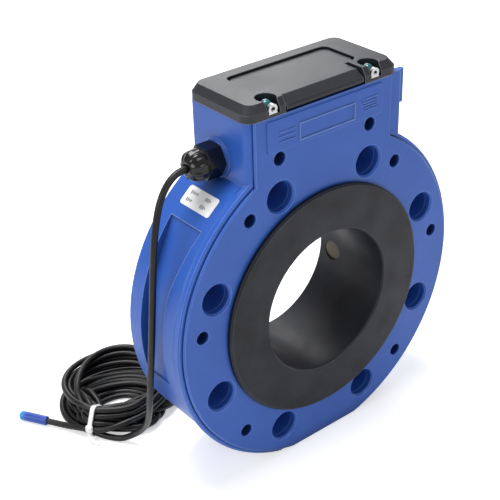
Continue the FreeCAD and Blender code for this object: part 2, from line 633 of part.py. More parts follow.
def seal_eye():
    """Stainless sealing screw of the right corner: shank, foot and a front lug with a wire hole."""
    floor = BOX_TOP + SEAL_FLOOR_T
    foot = rod_z(4.6, floor, floor + 1.2, SEAL_X, SEAL_Y)
    reach = box(SEAL_X - 3, SEAL_X + 3, LID_FRONT + 0.6, SEAL_Y, floor, floor + 1.2)
    lug = rod_y(3.1, LID_FRONT + 0.6, LID_FRONT + 2.6, SEAL_X, floor + 3.1)
    lug = lug.cut(rod_y(1.4, LID_FRONT, LID_FRONT + 4, SEAL_X, floor + 3.1))
    neck = box(SEAL_X - 2.6, SEAL_X + 2.6, LID_FRONT + 0.6, LID_FRONT + 2.6, floor, floor + 1.6)
    shank = rod_z(SEAL_SHANK_R, BOX_TOP - 13, floor + 0.5, SEAL_X, SEAL_Y)
    return fuse(foot, reach, lug, neck, shank)


def seal_plug():
    """Moulded sealing plug of the right corner, a domed button on a short stem."""
    foot = BOX_TOP + SEAL_FLOOR_T + 1.2
    stem = rod_z(2.7, foot, LID_TOP - 3.4, SEAL_X, SEAL_Y)
    dome = Part.makeSphere(3.5, V(SEAL_X, SEAL_Y, LID_TOP - 4.6))
    dome = dome.cut(box(SEAL_X - 5, SEAL_X + 5, SEAL_Y - 5, SEAL_Y + 5, foot - 5, foot))
    return fuse(stem, dome)


# ---------------------------------------------------------------- inside the box
def circuit_board():
    half = INNER_HALF - BOARD_INSET
    return box(-half, half, -13, 20, BOARD_Z, BOARD_Z + BOARD_T)


def display_panel():
    wx, wy = WINDOW_HALF
    top = DECK - DECK_T - 1
    module = box(-wx + 1, wx - 1, WINDOW_Y - wy + 1, WINDOW_Y + wy - 1, BOARD_Z + BOARD_T, top)
    view = box(-wx + 4, wx - 4, WINDOW_Y - wy + 4, WINDOW_Y + wy - 4, top - 0.5, DECK)
    return module.cut(view)


def battery_cell():
    z = BOX_FLOOR + CRADLE_T + 0.3 + BATTERY_R
    can = rod_x(BATTERY_R, -BATTERY_HALF, BATTERY_HALF, BATTERY_Y, z)
    return fuse(can, rod_x(4, BATTERY_HALF - 1, BATTERY_HALF + 1.2, BATTERY_Y, z))


def battery_cradle():
    end = BATTERY_HALF + 1.5
    y0, y1 = BATTERY_Y - BATTERY_R + 1, BATTERY_Y + BATTERY_R - 1
    base = box(-end, end, y0, y1, BOX_FLOOR, BOX_FLOOR + CRADLE_T)
    walls = []
    for s in (-1, 1):
        near, far = sorted((s * end, s * (end + 1.4)))
        walls.append(box(near, far, y0, y1, BOX_FLOOR, BOX_FLOOR + 18))
    return fuse(base, *walls)


def terminal_block():
    block = box(-47, -32, 8, 19, BOX_FLOOR, BOX_FLOOR + 10)
    for k in range(3):
        block = block.cut(rod_z(1.6, BOX_FLOOR + 6, BOX_FLOOR + 11, -44 + 4.5 * k, 15.5))
    return block


# ---------------------------------------------------------------- gland
def gland_body():
    nut = hexagon_x(GLAND_HEX_AF, GLAND_FACE - GLAND_HEX_L + 1.2, GLAND_FACE, GLAND_Y, GLAND_Z)
    collar = rod_x(GLAND_CAP_R - 0.3, GLAND_FACE - GLAND_HEX_L, GLAND_FACE - 5, GLAND_Y, GLAND_Z)
    thread = rod_x(GLAND_THREAD_R, GLAND_FACE - 1, -BOX_HALF_WIDTH + 8, GLAND_Y, GLAND_Z)
    body = fuse(nut, collar, thread)
    return body.cut(rod_x(GLAND_BORE_R, GLAND_FACE - 30, -40, GLAND_Y, GLAND_Z))


def gland_locknut():
    inside = -INNER_HALF
    nut = hexagon_x(19, inside, inside + 4, GLAND_Y, GLAND_Z)
    return nut.cut(rod_x(GLAND_THREAD_R + 0.05, inside - 1, inside + 5, GLAND_Y, GLAND_Z))


def gland_seal():
    start = GLAND_FACE - GLAND_HEX_L + 5
    r = GLAND_BORE_R - 0.2
    profile = [(start, 0), (start, r), (GLAND_TIP + 5, r), (CORD_START, GLAND_MOUTH_R), (CORD_START, 0)]
    return turned_x(profile, GLAND_Y, GLAND_Z)


def gland_cap_nut():
    """Domed cap nut with grip ribs round its side."""
    foot = GLAND_FACE - GLAND_HEX_L - 0.1
    r = GLAND_CAP_R
    inner = GLAND_BORE_R + 0.2
    profile = [(foot, inner), (foot, r), (foot - 4.6, r - 0.3), (foot - 6.6, r - 1.2), (foot - 8.2, r - 2.9),
               (GLAND_TIP, r - 5.0), (GLAND_TIP, GLAND_MOUTH_R), (GLAND_TIP + 1.2, GLAND_MOUTH_R),
               (GLAND_TIP + 4.8, inner)]
    cap = turned_x(profile, GLAND_Y, GLAND_Z)
    for k in range(GLAND_FLUTES):
        turn = 2 * math.pi * k / GLAND_FLUTES
        groove = rod_x(GLAND_FLUTE_R, GLAND_TIP - 1, foot - 1.2, GLAND_Y + (r + 0.25) * math.cos(turn),
                       GLAND_Z + (r + 0.25) * math.sin(turn))
        cap = cap.cut(groove)
    return cap


# ---------------------------------------------------------------- label
def wiring_label():
    """Paper label that follows the drum beside the box."""
    sheet = rod_y(DRUM_R + LABEL_GLUE + LABEL_T, LABEL_FRONT, LABEL_BACK)
    sheet = sheet.cut(rod_y(DRUM_R + LABEL_GLUE, LABEL_FRONT - 1, LABEL_BACK + 1))
    start = 180 - math.degrees(math.acos(BOX_HALF_WIDTH / DRUM_R)) + LABEL_SET
    corners = [V(0, LABEL_FRONT - 1, 0), polar(150, start, LABEL_FRONT - 1),
               polar(150, start + LABEL_SPAN, LABEL_FRONT - 1)]
    wedge = face_of(corners).extrude(V(0, LABEL_BACK - LABEL_FRONT + 2, 0))
    return sheet.common(wedge)


# ---------------------------------------------------------------- cable
FLOOR_LAY = FOOT_Z + CABLE_R
TIE_LAY = FLOOR_LAY + TIE_T + 0.3
DROP_ROUTE = [(CORD_START, GLAND_Y, GLAND_Z), (-82.6, 2.0, 105.3), (-88.4, 1.8, 103.4), (-94.2, 1.0, 99.0),
              (-99.4, 0.0, 91.6), (-103.4, -1.2, 81.6), (-106.6, -2.2, 68.6), (-108.8, -2.6, 52.0),
              (-110.6, -2.0, 32.0), (-111.8, -0.4, 10.0), (-112.6, 2.0, -12.0), (-112.6, 5.6, -32.0),
              (-110.8, 11.0, -48.6), (-107.6, 18.0, -62.4), (-104.8, 25.0, -74.0), (-103.2, 30.8, -82.2),
              (-102.8, 35.6, -88.2), (-103.4, 39.8, -92.8), (-105.0, 43.4, -96.4), (-107.6, 46.9, -99.2),
              (-110.7, 50.6, -101.4), (-114.2, 55.4, FLOOR_LAY), (-118.0, 61.8, FLOOR_LAY),
              (-121.5, 68.3, TIE_LAY)]
TAIL_ROUTE = [(-123.7, 67.4, -97.0), (-128.0, 76.6, -99.0), (-132.4, 85.8, -100.5), (-137.3, 94.8, -100.7),
              (-142.4, 103.4, -100.6)]


def cable_tube(name, route):
    """Round cable along straight runs joined by tangent arcs."""
    points = [V(*p) for p in route]
    edges = []
    radii = []
    here = points[0]
    for before, corner, after in zip(points, points[1:], points[2:]):
        run_in = corner - before
        run_out = after - corner
        turn = run_in.getAngle(run_out)
        trim = 0.45 * min(run_in.Length, run_out.Length)
        radius = trim / math.tan(turn / 2)
        radii.append(radius)
        unit_in = V(run_in).normalize()
        unit_out = V(run_out).normalize()
        start = corner - unit_in * trim
        end = corner + unit_out * trim
        inward = (unit_out - unit_in).normalize()
        middle = corner + inward * (radius / math.cos(turn / 2) - radius)
        edges.append(Part.LineSegment(here, start).toShape())
        edges.append(Part.Arc(start, middle, end).toShape())
        here = end
    edges.append(Part.LineSegment(here, points[-1]).toShape())
    path = Part.Wire(edges)
    ring = Part.Wire(Part.Circle(points[0], points[1] - points[0], CABLE_R).toShape())
    tube = path.makePipeShell([ring], True, True)
    expected = math.pi * CABLE_R ** 2 * path.Length
    print(name, "length", round(path.Length, 1), "least radius", round(min(radii), 1),
          "volume ratio", round(tube.Volume / expected, 4))
    return tube


def tie_frame(u0, u1, w0, w1, half_width):
    """Block in the tie's own directions: u outwards from the coil, w up, across the bundle."""
    block = box(u0, u1, -half_width, half_width, w0, w1)
    block.rotate(V(0, 0, 0), AXIS_Z, TIE_ANGLE)
    block.translate(V(COIL_X, COIL_Y, 0))
    return block


TIE_OUT = COIL_R + TIE_T
TIE_IN = COIL_R - TIE_REACH


def cable_coil():
    """Outer shape of the tied hank: a low round ring with an off-centre eye."""
    ring = rod_z(COIL_R, FOOT_Z, FOOT_Z + COIL_HEIGHT, COIL_X, COIL_Y)
    x, y, eye_r = COIL_EYE
    ring = ring.cut(rod_z(eye_r, FOOT_Z - 1, FOOT_Z + COIL_HEIGHT + 1, x, y))
    top = FOOT_Z + COIL_HEIGHT
    rim = [e for e in ring.Edges if abs(e.BoundBox.ZMax - top) < 0.01 and e.BoundBox.ZLength < 0.1]
    ring = ring.makeFillet(5, rim)
    play = 0.2
    groove = tie_frame(TIE_IN - 3, TIE_OUT + 3, FOOT_Z - 1, top + 1, TIE_WIDTH / 2 + play)
    keep = tie_frame(TIE_IN + TIE_T + play, COIL_R - play, FOOT_Z + TIE_T + play, top - play, TIE_WIDTH)
    return ring.cut(groove.cut(keep))


def cable_tie():
    """Band round the bundle, its head on the outer side and the loose end of the band below."""
    top = FOOT_Z + COIL_HEIGHT + TIE_T
    strap = tie_frame(TIE_IN, TIE_OUT, FOOT_Z, top, TIE_WIDTH / 2)
    strap = strap.cut(tie_frame(TIE_IN + TIE_T, TIE_OUT - TIE_T, FOOT_Z + TIE_T, top - TIE_T, TIE_WIDTH))
    head = tie_frame(TIE_OUT - 0.2, TIE_OUT + 3.4, FOOT_Z + 6, FOOT_Z + 11, 2.8)
    end = tie_frame(TIE_OUT + 0.9, TIE_OUT + 1.9, FOOT_Z, FOOT_Z + 7, TIE_WIDTH / 2)
    return fuse(strap, head, end)


def cable_end_sleeve():
    """Heat-shrunk end sleeve, closed and rounded at its tip."""
    tip_round = 1.4
    profile = [(0, CABLE_R), (0, SLEEVE_R - 0.5), (0.6, SLEEVE_R), (SLEEVE_L - tip_round, SLEEVE_R),
               (SLEEVE_L, SLEEVE_R - tip_round), (SLEEVE_L, 0), (SLEEVE_OVERLAP, 0),
               (SLEEVE_OVERLAP, CABLE_R)]
    sleeve = face_of([V(x, 0, r) for x, r in profile]).revolve(V(0, 0, 0), AXIS_X, 360)
    end = V(*TAIL_ROUTE[-1])
    lead = end - V(*TAIL_ROUTE[-2])
    sleeve.rotate(V(0, 0, 0), AXIS_Z, math.degrees(math.atan2(lead.y, lead.x)))
    sleeve.translate(end - V(lead).normalize() * SLEEVE_OVERLAP)
    return sleeve


# ---------------------------------------------------------------- write the parts
def flipped(shape):
    """The lower copy of a part on the other side of the bore."""
    return shape.mirror(V(0, 0, 0), AXIS_Z)


def build():
    parts = {
        "body_housing": body_housing(),
        "front_plate": front_plate(),
        "front_plate_screws": front_plate_screws(),
        "rubber_liner": rubber_liner(),
        "measuring_tube": measuring_tube(),
        "yoke_ring": yoke_ring(),
        "lid_frame": lid_frame(),
        "lid_gasket": gasket_ring(BOX_TOP, BOX_TOP + 0.95),
        "flip_cover": flip_cover(),
        "display_window": display_window(),
        "display_panel": display_panel(),
        "circuit_board": circuit_board(),
        "battery_cell": battery_cell(),
        "battery_cradle": battery_cradle(),
        "terminal_block": terminal_block(),
        "gland_body": gland_body(),
        "gland_locknut": gland_locknut(),
        "gland_seal": gland_seal(),
        "gland_cap_nut": gland_cap_nut(),
        "wiring_label": wiring_label(),
        "cable_drop": cable_tube("cable_drop", DROP_ROUTE),
        "cable_coil": cable_coil(),
        "cable_tail": cable_tube("cable_tail", TAIL_ROUTE),
        "cable_tie": cable_tie(),
        "cable_end_sleeve": cable_end_sleeve(),
    }
    for piece, shape in zip(("electrode", "electrode_bush", "electrode_nut"), electrode_set()):
        parts[piece + "_right"] = shape
        parts[piece + "_left"] = mirrored(shape)
    for piece, shape in zip(("pole_core", "coil_bobbin", "field_coil"), magnet_set()):
        parts[piece + "_top"] = shape
        parts[piece + "_bottom"] = flipped(shape)
    for piece, shape in (("hinge_pin", hinge_pin()), ("seal_eye", seal_eye()), ("seal_plug", seal_plug())):
        parts[piece + "_right"] = shape
        parts[piece + "_left"] = mirrored(shape)
    return parts


def main():
    os.makedirs("parts", exist_ok=True)
    for node, shape in build().items():
        solids = len(shape.Solids)
        print(f"{node:22s} solids {solids}  valid {shape.isValid()}  volume {shape.Volume / 1000:9.2f} cm3")
        shape.exportStep("parts/" + node + ".step")


main()
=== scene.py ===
# %% [markdown]
# # A wafer flow meter, cell by cell
#
# This lesson dresses a imported CAD model of a magnetic flow meter: a blue moulded body that is clamped
# between two pipe flanges, a rubber-lined bore, a display box on top, and a signal cable that lies coiled
# beside it. The CAD has the rigid forms at life size. Here each one gets the finish of its real material,
# and what the CAD only hints at, such as the coiled cable, is modelled in full.
#
# The first cell loads the frame.

# %% Load the frame
import math

import bmesh
import bpy
import numpy as np
from mathutils import Matrix, Vector, geometry


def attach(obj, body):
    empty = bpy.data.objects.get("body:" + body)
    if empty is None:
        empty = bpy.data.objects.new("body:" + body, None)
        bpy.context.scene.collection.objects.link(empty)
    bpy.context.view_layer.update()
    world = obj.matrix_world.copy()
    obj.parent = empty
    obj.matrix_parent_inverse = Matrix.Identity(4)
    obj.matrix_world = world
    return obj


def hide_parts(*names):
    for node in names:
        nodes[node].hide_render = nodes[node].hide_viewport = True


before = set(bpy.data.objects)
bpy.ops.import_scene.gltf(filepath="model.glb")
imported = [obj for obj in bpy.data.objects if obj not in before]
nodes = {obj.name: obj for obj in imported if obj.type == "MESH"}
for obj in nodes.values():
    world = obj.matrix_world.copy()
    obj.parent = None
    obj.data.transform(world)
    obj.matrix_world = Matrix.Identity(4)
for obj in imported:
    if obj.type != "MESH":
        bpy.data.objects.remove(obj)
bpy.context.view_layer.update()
MM = 0.001

# %% [markdown]
# The camera looks down at the meter from its left, like a catalogue picture taken from a low ladder. A
# long lens keeps the circles nearly true ellipses. A camera's own axes are easiest to think of as three
# turns: tip it up from looking straight down, lean it by its roll, then swing it round the object.

# %% Camera
CAMERA_PLACE = Vector((-0.39623, -0.45906, 0.38287))
SWING, HEIGHT, ROLL = math.radians(-38.042), math.radians(30.653), math.radians(-1.869)
SENSOR_MM, LENS_MM = 36.0, 80.64

camera = bpy.data.objects.new("camera", bpy.data.cameras.new("camera"))
camera.data.sensor_width = SENSOR_MM
camera.data.lens = LENS_MM
camera.data.clip_start = 0.05
camera.matrix_world = (Matrix.Translation(CAMERA_PLACE) @ Matrix.Rotation(SWING, 4, "Z")
                       @ Matrix.Rotation(math.radians(90) - HEIGHT, 4, "X") @ Matrix.Rotation(ROLL, 4, "Z"))
bpy.context.scene.collection.objects.link(camera)
bpy.context.scene.camera = camera
print("camera", [round(v, 3) for v in camera.location])

# %% [markdown]
# Before any finish, three small helpers. Designers write colours as sRGB hex values, but shaders work in
# linear light, so the first converts. The second adds a node, sets its values and joins its inputs in one
# call, which keeps each material short enough to read as a recipe. The third starts an empty material.

# %% Small helpers
def colour(hex_value):
    """Linear RGBA for a shader socket from an sRGB hex value."""
    srgb = [int(hex_value[i:i + 2], 16) / 255 for i in (1, 3, 5)]
    return [c / 12.92 if c <= 0.04045 else ((c + 0.055) / 1.055) ** 2.4 for c in srgb] + [1.0]


def add(tree, kind, settings=None, links=None):
    """Adds one node. Settings go to its sockets or properties, and links join outputs to its sockets."""
    node = tree.nodes.new(kind)
    for key, value in (settings or {}).items():
        if isinstance(key, int) or key in node.inputs:
            node.inputs[key].default_value = value
        else:
            setattr(node, key, value)
    for key, source in (links or {}).items():
        tree.links.new(source, node.inputs[key])
    return node


def new_material(name):
    """An empty node material with its output, ready for a recipe."""
    material = bpy.data.materials.new(name)
    material.use_nodes = True
    tree = material.node_tree
    tree.nodes.clear()
    return material, tree, add(tree, "ShaderNodeOutputMaterial")


print("sRGB middle grey is", round(colour("#808080")[0], 3), "in linear light")

# %% [markdown]
# Nearly everything here comes out of a mould, so one recipe serves many finishes. Soft clouds vary the
# colour and the gloss a little, as on any real moulding. A fine noise in the bump is the grain of the
# tool. Three things work on edges and hollows: the Bevel node rounds the shading of sharp edges without
# new geometry, ambient occlusion paints shade into hollows, and a lighter tint paints a highlight on the
# edges that lie open, where real ones catch the light. The painted shade and the painted highlight go
# into the base colour.

# %% Recipe for moulded pieces
def hollow_shade(tree, skin, recess_mm):
    """Paints shade: darkens the skin where neighbours are nearer than recess_mm. Gives it and how open each
    spot lies.
    """
    sky = add(tree, "ShaderNodeAmbientOcclusion", {"samples": 8, "Distance": recess_mm * MM})
    openness = sky.outputs["AO"]
    kept = add(tree, "ShaderNodeMapRange",
               {"From Min": 0.15, "From Max": 0.85, "To Min": 0.3, "To Max": 1.0}, {"Value": openness})
    # painted shade: the skin is multiplied darker where neighbours are near
    painted_shade = add(tree, "ShaderNodeMix", {"data_type": "RGBA", "blend_type": "MULTIPLY", 0: 1.0},
               {6: skin, 7: kept.outputs["Result"]})
    return painted_shade.outputs[2], openness


def painted_edge_highlight(tree, skin, rounded, openness, rim):
    """Paints a highlight: mixes in the rim colour where the rounded normal leaves the flat one, on edges
    that lie open.
    """
    flat = add(tree, "ShaderNodeNewGeometry").outputs["Normal"]
    same = add(tree, "ShaderNodeVectorMath", {"operation": "DOT_PRODUCT"}, {0: flat, 1: rounded})
    turned = add(tree, "ShaderNodeMapRange",
                 {"From Min": 0.995, "From Max": 0.85, "To Min": 0.0, "To Max": 1.0},
                 {"Value": same.outputs["Value"]})
    free = add(tree, "ShaderNodeMapRange", {"From Min": 0.6, "From Max": 0.9}, {"Value": openness})
    amount = add(tree, "ShaderNodeMath", {"operation": "MULTIPLY"},
                 {0: turned.outputs["Result"], 1: free.outputs["Result"]})
    # painted highlight: the rim colour mixed in on open edges
    painted_highlight = add(tree, "ShaderNodeMix", {"data_type": "RGBA", 7: colour(rim)},
                  {0: amount.outputs[0], 6: skin})
    return painted_highlight.outputs[2]


def moulded(name, base, shade, rough=(0.35, 0.5), grain_mm=0.5, grain=0.04, cloud_mm=40.0, edge_mm=0.5,
            specular=0.5, coat=0.0, recess_mm=0.0, rim=None):
    """Plastic or rubber from a mould: a base colour with soft clouds, fine grain and rounded edges, and if
    wanted painted shade in hollows and a painted highlight on open edges.

    base and shade are hex values for the two ends of the clouds, and rough is the range of roughness with
    them. recess_mm is how far off a neighbour still darkens a spot with painted shade. rim is the colour of
    a painted highlight mixed in on open edges, and it needs edge_mm and recess_mm.
    """
    material, tree, out = new_material(name)
    place = add(tree, "ShaderNodeTexCoord").outputs["Object"]
    clouds = add(tree, "ShaderNodeTexNoise", {"Scale": 1000 / cloud_mm, "Detail": 4.0, "Roughness": 0.6},
                 {"Vector": place})
    tint = add(tree, "ShaderNodeValToRGB", links={"Fac": clouds.outputs["Fac"]})
    for stop, position, hex_value in zip(tint.color_ramp.elements, (0.35, 0.68), (shade, base)):
        stop.position = position
        stop.color = colour(hex_value)
    dull = add(tree, "ShaderNodeMapRange",
               {"From Min": 0.3, "From Max": 0.7, "To Min": rough[1], "To Max": rough[0]},
               {"Value": clouds.outputs["Fac"]})
    spark = add(tree, "ShaderNodeTexNoise", {"Scale": 1000 / grain_mm, "Detail": 2.0}, {"Vector": place})
    bump = add(tree, "ShaderNodeBump", {"Strength": grain, "Distance": 0.0002},
               {"Height": spark.outputs["Fac"]})
    skin = tint.outputs["Color"]
    if edge_mm:
        soft = add(tree, "ShaderNodeBevel", {"samples": 8, "Radius": edge_mm * MM})
        tree.links.new(soft.outputs["Normal"], bump.inputs["Normal"])
    # painted shade in hollows
    if recess_mm:
        skin, openness = hollow_shade(tree, skin, recess_mm)
    # painted highlight on open edges
    if rim:
        skin = painted_edge_highlight(tree, skin, soft.outputs["Normal"], openness, rim)
    shader = add(tree, "ShaderNodeBsdfPrincipled",
                 {"IOR": 1.5, "Specular IOR Level": specular, "Coat Weight": coat, "Coat Roughness": 0.12},
                 {"Base Color": skin, "Roughness": dull.outputs["Result"],
                  "Normal": bump.outputs["Normal"]})
    tree.links.new(shader.outputs["BSDF"], out.inputs["Surface"])
    return material


def dress(material, *names):
    """Gives CAD nodes or new pieces a material."""
    for name in names:
        piece = nodes[name] if isinstance(name, str) else name
        piece.data.materials.clear()
        piece.data.materials.append(material)


print("pieces to dress or replace", len(nodes))

# %% [markdown]
# The cable comes first. It is a thin signal cable with a PVC sheath, 4.2 mm thick, that leaves the gland,
# hangs down the left side, turns on the floor and runs into a tied hank. A cable is one smooth line with
# thickness, so it is a curve: a NURBS spline follows its points without kinks. The part that hangs is a
# list of points, and so is the free end. All are in millimetres. The hank's fifteen turns come from a
# loop. They share the narrow bundle in the tie and fan out beyond it: a table says how far from the
# hank's middle each one runs on its left, far and right side, and how high.

# %% Cable route
CABLE_R = 2.1
FLOOR = -104.0                # the flat of the foot, which the meter stands on
LAY = FLOOR + CABLE_R         # the cable's middle where it lies on the floor
DROP = [(-77.3, 2.0, 105.5), (-82.6, 2.0, 105.3), (-88.4, 1.8, 103.4), (-94.2, 1.0, 99.0),
        (-99.4, 0.0, 91.6), (-103.4, -1.2, 81.6), (-106.6, -2.2, 68.6), (-108.8, -2.6, 52.0),
        (-110.6, -2.0, 32.0),
        (-111.8, -0.4, 10.0), (-112.6, 2.0, -12.0), (-112.6, 5.6, -32.0), (-110.8, 11.0, -48.6),
        (-107.6, 18.0, -62.4), (-104.8, 25.0, -74.0), (-103.2, 30.8, -82.2), (-102.8, 35.6, -88.2),
        (-103.4, 39.8, -92.8), (-105.0, 43.4, -96.4), (-107.6, 46.9, -99.2), (-110.7, 50.6, -101.4),
        (-114.2, 55.4, LAY), (-118.0, 61.8, LAY), (-121.5, 68.3, -100.6)]
TAIL = [(-123.7, 67.4, -97.0), (-128.0, 76.6, -99.0), (-132.4, 85.8, -100.5), (-137.3, 94.8, -100.7),
        (-142.4, 103.4, -100.6)]

COIL_CENTRE = np.array([-84.0, 89.0])
TIE_ANGLE = math.radians(208.6)       # where the tie sits, seen from the hank's middle
NEAR_WAY = math.radians(240.3)        # which way a turn's near side faces
BUNDLE_R = 36.8                       # from the hank's middle to the middle of the bundle in the tie
# where the cable passes through the tie, pass after pass: outwards from the bundle's middle, and height
PASSES = [(6.3, 3.4), (2.1, 3.4), (-2.1, 3.4), (-6.3, 3.4), (-4.2, 7.0), (0.0, 7.0), (4.2, 7.0),
          (6.3, 10.7), (2.1, 10.7), (-2.1, 10.7), (-6.3, 10.7), (-4.2, 14.3), (0.0, 14.3), (4.2, 14.3),
          (1.9, 18.1), (8.4, 7.0)]
# each turn's distance from the hank's middle on its left, far and right side, and its height
TURNS = [(46.5, 39.0, 44.0, 2.1), (44.5, 34.5, 41.5, 2.1), (42.0, 30.0, 39.0, 2.1),
         (39.5, 25.5, 36.0, 2.1), (37.0, 21.0, 33.5, 2.1), (34.5, 16.5, 31.0, 2.1),
         (32.5, 12.0, 28.5, 2.1), (31.0, 7.5, 26.0, 2.1), (29.5, 3.0, 24.0, 2.1),
         (33.0, 10.0, 27.0, 6.2), (40.0, 33.0, 34.0, 10.5), (43.0, 36.5, 37.0, 12.0),
         (37.5, 37.0, 35.0, 15.0), (35.0, 41.0, 31.0, 17.8), (46.5, 42.0, 38.0, 15.5)]
# how far along a turn its start in the tie, its left, far and right side and its end in the tie lie
SIDES = (0.0, 0.19, 0.42, 0.76, 1.0)
STEPS = 64                            # points in each turn
print("turns", len(TURNS), "passes through the tie", len(PASSES))

# %% [markdown]
# The first guess gives each turn the shape of an oval that runs through the tie. A turn enters and leaves
# the tie at different passes, which takes two slightly different ovals. It changes from one to the other
# on the far side, where the two lie together.

# %% First guess of the hank
def eased(t, values):
    """Value at t along a turn that eases from each side's value to the next."""
    k = min(int(np.searchsorted(SIDES, t, side="right")) - 1, len(SIDES) - 2)
    part = (t - SIDES[k]) / (SIDES[k + 1] - SIDES[k])
    return values[k] + (values[k + 1] - values[k]) * part * part * (3 - 2 * part)


def coil_start():
    """First guess of the hank, turn after turn, clockwise seen from above.

    A turn's near side is not in the table: it follows from the tie, which the oval runs through.
    """
    near_way = np.array([math.cos(NEAR_WAY), math.sin(NEAR_WAY)])
    left_way = np.array([near_way[1], -near_way[0]])
    lean = NEAR_WAY - TIE_ANGLE
    points = []
    for k, (left, far, right, height) in enumerate(TURNS):
        heights = (PASSES[k][1], height, height, height, PASSES[k + 1][1])
        ovals = []
        for outwards, _ in (PASSES[k], PASSES[k + 1]):
            toward = (BUNDLE_R + outwards) * math.cos(lean)
            aside = (BUNDLE_R + outwards) * math.sin(lean)
            turn = math.asin(aside / left)
            near = (2 * toward + far * (1 - math.cos(turn))) / (1 + math.cos(turn))
            ovals.append((near, turn))
        start, stop = ovals[0][1], ovals[1][1] + 2 * math.pi
        for j in range(STEPS):
            t = j / STEPS
            angle = start + (stop - start) * t
            near = ovals[0][0] if t < 0.5 else ovals[1][0]
            toward = (near - far) / 2 + (near + far) / 2 * math.cos(angle)
            aside = (left if math.sin(angle) > 0 else right) * math.sin(angle)
            x, y = COIL_CENTRE + near_way * toward + left_way * aside
            points.append((x, y, FLOOR + eased(t, heights)))
    return np.array(points)


print("first guess", len(coil_start()), "points")

# %% [markdown]
# Then the turns settle together. In each round, strands that are too near push each other apart, each
# span pulls back to its own length, and each point moves a little towards a straight line between its
# neighbours, as a cable resists a bend. The floor stops what sinks. After enough rounds the strands lie
# about one cable's width apart.

# %% Settle the hank
ROUNDS = 900
STRAND_GAP = 0.15             # air that the strands aim for
SAME_STRAND = 6               # points this near along the cable don't push each other
SEARCH_EVERY = 8              # rounds between two searches for strands that are near
SEARCH_MARGIN = 4             # how much further than its own width a search looks
GIVE = 0.35                   # share of a push or pull that one round makes
STRAIGHTEN = 0.1              # share of the way to the straight line that one round makes


def evenly(points, step=3.2):
    """Points evenly along a line, so that it can push the turns aside."""
    points = np.array(points)
    along = np.r_[0, np.cumsum(np.linalg.norm(np.diff(points, axis=0), axis=1))]
    marks = np.linspace(0, along[-1], int(along[-1] / step) + 1)
    return np.stack([np.interp(marks, along, points[:, axis]) for axis in range(3)], axis=1)


def settle():
    """Lets the turns push each other apart until they rest. The tie holds its passes, and the ends stay."""
    lead, coil, end = evenly(DROP)[:-1], coil_start(), evenly(TAIL)[1:]
    x = np.vstack([lead, coil, end])
    held = (np.arange(len(x)) - len(lead)) % STEPS == 0
    held[:len(lead)] = True
    held[len(lead) + len(coil):] = True
    rest = np.linalg.norm(np.diff(x, axis=0), axis=1)
    width = 2 * CABLE_R + STRAND_GAP
    for n in range(ROUNDS):
        if n % SEARCH_EVERY == 0:
            near = np.linalg.norm(x[:, None] - x[None], axis=2) < width + SEARCH_MARGIN
            i, j = np.nonzero(np.triu(near, SAME_STRAND))
        move = np.zeros_like(x)
        apart = x[i] - x[j]
        gap = np.linalg.norm(apart, axis=1)
        push = apart * (np.maximum(width - gap, 0) / np.maximum(gap, 1e-6) * GIVE)[:, None]
        np.add.at(move, i, push)
        np.add.at(move, j, -push)
        span = np.diff(x, axis=0)
        length = np.linalg.norm(span, axis=1)
        pull = span * ((length - rest) / length * GIVE)[:, None]
        move[:-1] += pull
        move[1:] -= pull
        move[1:-1] += STRAIGHTEN * ((x[:-2] + x[2:]) / 2 - x[1:-1])
        move[held] = 0
        x = x + move
        x[~held, 2] = np.maximum(x[~held, 2], LAY)
    return x[len(lead):len(lead) + len(coil)]


turns = settle()
gap = np.linalg.norm(turns[:, None] - turns[None], axis=2)
closest = gap[np.triu_indices(len(turns), SAME_STRAND)].min()
print("turn points", len(turns), "closest strands", round(float(closest), 2), "mm, highest",
      round(float(turns[:, 2].max() - FLOOR), 1), "mm")

# %% [markdown]
# The spline takes the hanging points, every second point of the settled turns, and the free end. Its
# order and its end rule are set after the points are in, because a spline keeps the order only once it
# has enough points. The sheath is extruded black PVC: satin, with a fine grain and a little dust in its
# colour.

route = [Vector(p) * MM for p in DROP + [*turns[::2]] + TAIL]
curve = bpy.data.curves.new("signal_cable", "CURVE")
curve.dimensions = "3D"
curve.bevel_depth = CABLE_R * MM
curve.bevel_resolution = 4
curve.resolution_u = 3
curve.use_fill_caps = True
spline = curve.splines.new("NURBS")
spline.points.add(len(route) - 1)
for point, place in zip(spline.points, route):
    point.co = (*place, 1.0)
spline.order_u = 3
spline.use_endpoint_u = True
cable = bpy.data.objects.new("signal_cable", curve)
bpy.context.scene.collection.objects.link(cable)

sheath = moulded("extruded PVC sheath", "#161617", "#101011", rough=(0.3, 0.42), grain_mm=0.9, grain=0.1,
                 cloud_mm=16.0, edge_mm=0, specular=0.34)
cable.data.materials.append(sheath)
reach = sum((b - a).length for a, b in zip(route, route[1:]))
print("cable points", len(route), "line through them", round(reach, 3), "m")

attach(cable, "meter")
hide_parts("cable_drop", "cable_coil", "cable_tail")

# %% [markdown]
# Finishes for the rigid pieces, each named for its real material. How a piece was made decides how it
# shines: a spark-eroded tool leaves a grain that spreads highlights, and a polished tool leaves a near
# mirror.

# %% Moulded finishes
# injected in a fine-grained tool: satin, with a painted highlight along its open edges and painted shade in
# its hollows
blue_abs = moulded("moulded blue ABS", "#3060BC", "#2B59B1", rough=(0.3, 0.4), grain_mm=0.35, grain=0.05,
                   cloud_mm=60.0, edge_mm=0.9, specular=0.4, recess_mm=14.0, rim="#8AACEE")
# pressed and cured in place: dull and uneven, so its broad highlight breaks up; painted shade darkens its
# hollows and a painted highlight lightens its open edges
rubber = moulded("black lining rubber", "#1C1E2A", "#0E0F15", rough=(0.3, 0.52), grain_mm=0.7, grain=0.08,
                 cloud_mm=26.0, edge_mm=1.2, specular=0.3, recess_mm=6.0, rim="#5A5C66")
